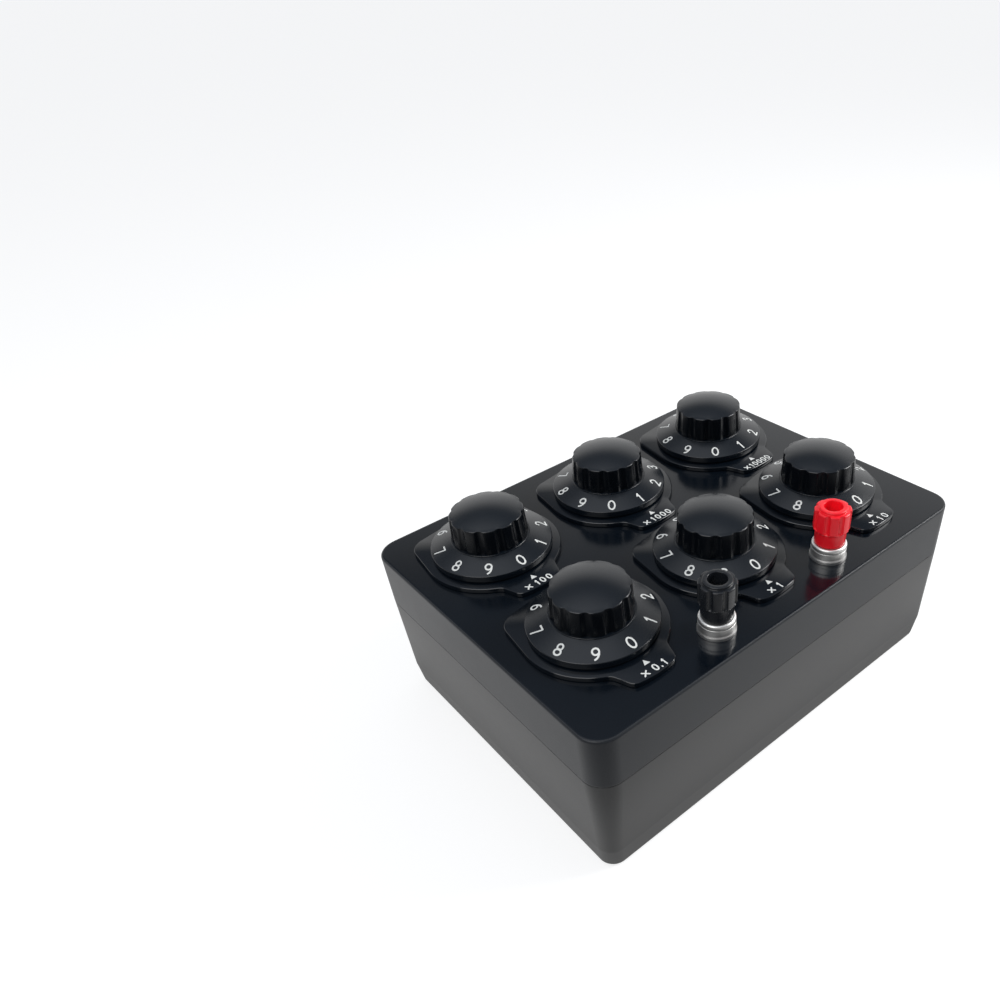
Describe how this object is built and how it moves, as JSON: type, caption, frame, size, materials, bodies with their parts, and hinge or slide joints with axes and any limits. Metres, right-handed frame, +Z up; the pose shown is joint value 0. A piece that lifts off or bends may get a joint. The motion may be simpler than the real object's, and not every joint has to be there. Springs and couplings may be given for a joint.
{
  "type": "decade resistance box",
  "caption": "Black bench resistance box with numbered turning dials on its lid and two screw-down binding posts at the front.",
  "frame": {"origin": "middle of the box, on the surface that its feet stand on", "axes": "+X along the long side, +Y from the front with the posts to the back, +Z up"},
  "size_m": [0.2, 0.15, 0.0984],
  "materials": {
    "lid_moulding": "glossy black moulding",
    "case_moulding": "satin black moulding",
    "board_resin": "brown laminate with fused metal studs",
    "rubber": "matte",
    "steel": "bright",
    "knob_moulding": "glossy black moulding, white digits",
    "escutcheon_moulding": "glossy black moulding, white marks",
    "brass": "turned",
    "phosphor_bronze": "rolled",
    "winding": "enamelled wire on moulded spools",
    "nickel": "nickel plated, polished",
    "black_cap_moulding": "glossy",
    "red_cap_moulding": "glossy",
    "lead_black": "insulated wire",
    "lead_red": "insulated wire"
  },
  "bodies": {
    "root": {"top_cover": "lid_moulding", "lower_case": "case_moulding", "main_board": "board_resin", "foot_front_left": "rubber", "foot_front_right": "rubber", "foot_back_left": "rubber", "foot_back_right": "rubber", "case_screw_front_left": "steel", "case_screw_front_right": "steel", "case_screw_back_left": "steel", "case_screw_back_right": "steel", "escutcheon_tenths": "escutcheon_moulding", "bush_tenths": "brass", "resistor_chain_tenths": "winding", "escutcheon_ones": "escutcheon_moulding", "bush_ones": "brass", "resistor_chain_ones": "winding", "escutcheon_tens": "escutcheon_moulding", "bush_tens": "brass", "resistor_chain_tens": "winding", "escutcheon_ten_thousands": "escutcheon_moulding", "bush_ten_thousands": "brass", "resistor_chain_ten_thousands": "winding", "escutcheon_thousands": "escutcheon_moulding", "bush_thousands": "brass", "resistor_chain_thousands": "winding", "escutcheon_hundreds": "escutcheon_moulding", "bush_hundreds": "brass", "resistor_chain_hundreds": "winding", "black_post_stud": "nickel", "black_post_nut": "nickel", "black_post_collar": "nickel", "lead_black": "lead_black", "red_post_stud": "nickel", "red_post_nut": "nickel", "red_post_collar": "nickel", "lead_red": "lead_red"},
    "dial_tenths": {"knob_tenths": "knob_moulding", "shaft_tenths": "steel", "brush_tenths": "phosphor_bronze"},
    "dial_ones": {"knob_ones": "knob_moulding", "shaft_ones": "steel", "brush_ones": "phosphor_bronze"},
    "dial_tens": {"knob_tens": "knob_moulding", "shaft_tens": "steel", "brush_tens": "phosphor_bronze"},
    "dial_ten_thousands": {"knob_ten_thousands": "knob_moulding", "shaft_ten_thousands": "steel", "brush_ten_thousands": "phosphor_bronze"},
    "dial_thousands": {"knob_thousands": "knob_moulding", "shaft_thousands": "steel", "brush_thousands": "phosphor_bronze"},
    "dial_hundreds": {"knob_hundreds": "knob_moulding", "shaft_hundreds": "steel", "brush_hundreds": "phosphor_bronze"},
    "black_washer": {"black_post_washer": "nickel"},
    "black_cap": {"black_post_cap": "black_cap_moulding"},
    "red_washer": {"red_post_washer": "nickel"},
    "red_cap": {"red_post_cap": "red_cap_moulding"}
  },
  "joints": [
    {"name": "dial_tenths_turn", "type": "hinge", "parent": "root", "child": "dial_tenths", "pos_m": [-0.063, -0.029, 0.075], "axis": [0, 0, 1], "continuous": true},
    {"name": "dial_ones_turn", "type": "hinge", "parent": "root", "child": "dial_ones", "pos_m": [0, -0.029, 0.075], "axis": [0, 0, 1], "continuous": true},
    {"name": "dial_tens_turn", "type": "hinge", "parent": "root", "child": "dial_tens", "pos_m": [0.063, -0.029, 0.075], "axis": [0, 0, 1], "continuous": true},
    {"name": "dial_ten_thousands_turn", "type": "hinge", "parent": "root", "child": "dial_ten_thousands", "pos_m": [0.063, 0.0378, 0.075], "axis": [0, 0, 1], "continuous": true},
    {"name": "dial_thousands_turn", "type": "hinge", "parent": "root", "child": "dial_thousands", "pos_m": [0, 0.0378, 0.075], "axis": [0, 0, 1], "continuous": true},
    {"name": "dial_hundreds_turn", "type": "hinge", "parent": "root", "child": "dial_hundreds", "pos_m": [-0.063, 0.0378, 0.075], "axis": [0, 0, 1], "continuous": true},
    {"name": "black_washer_lift", "type": "slide", "parent": "root", "child": "black_washer", "axis": [0, 0, 1], "range_m": [0, 0.003]},
    {"name": "black_cap_turn", "type": "hinge", "parent": "black_washer", "child": "black_cap", "pos_m": [-0.0315, -0.061, 0.075], "axis": [0, 0, 1], "range_deg": [0, 1080]},
    {"name": "red_washer_lift", "type": "slide", "parent": "root", "child": "red_washer", "axis": [0, 0, 1], "range_m": [0, 0.003]},
    {"name": "red_cap_turn", "type": "hinge", "parent": "red_washer", "child": "red_cap", "pos_m": [0.0315, -0.061, 0.075], "axis": [0, 0, 1], "range_deg": [0, 1080]}
  ],
  "couplings": [
    {"joint": "black_washer_lift", "follows": "black_cap_turn", "m_per_rad": 0.00015915},
    {"joint": "red_washer_lift", "follows": "red_cap_turn", "m_per_rad": 0.00015915}
  ]
}
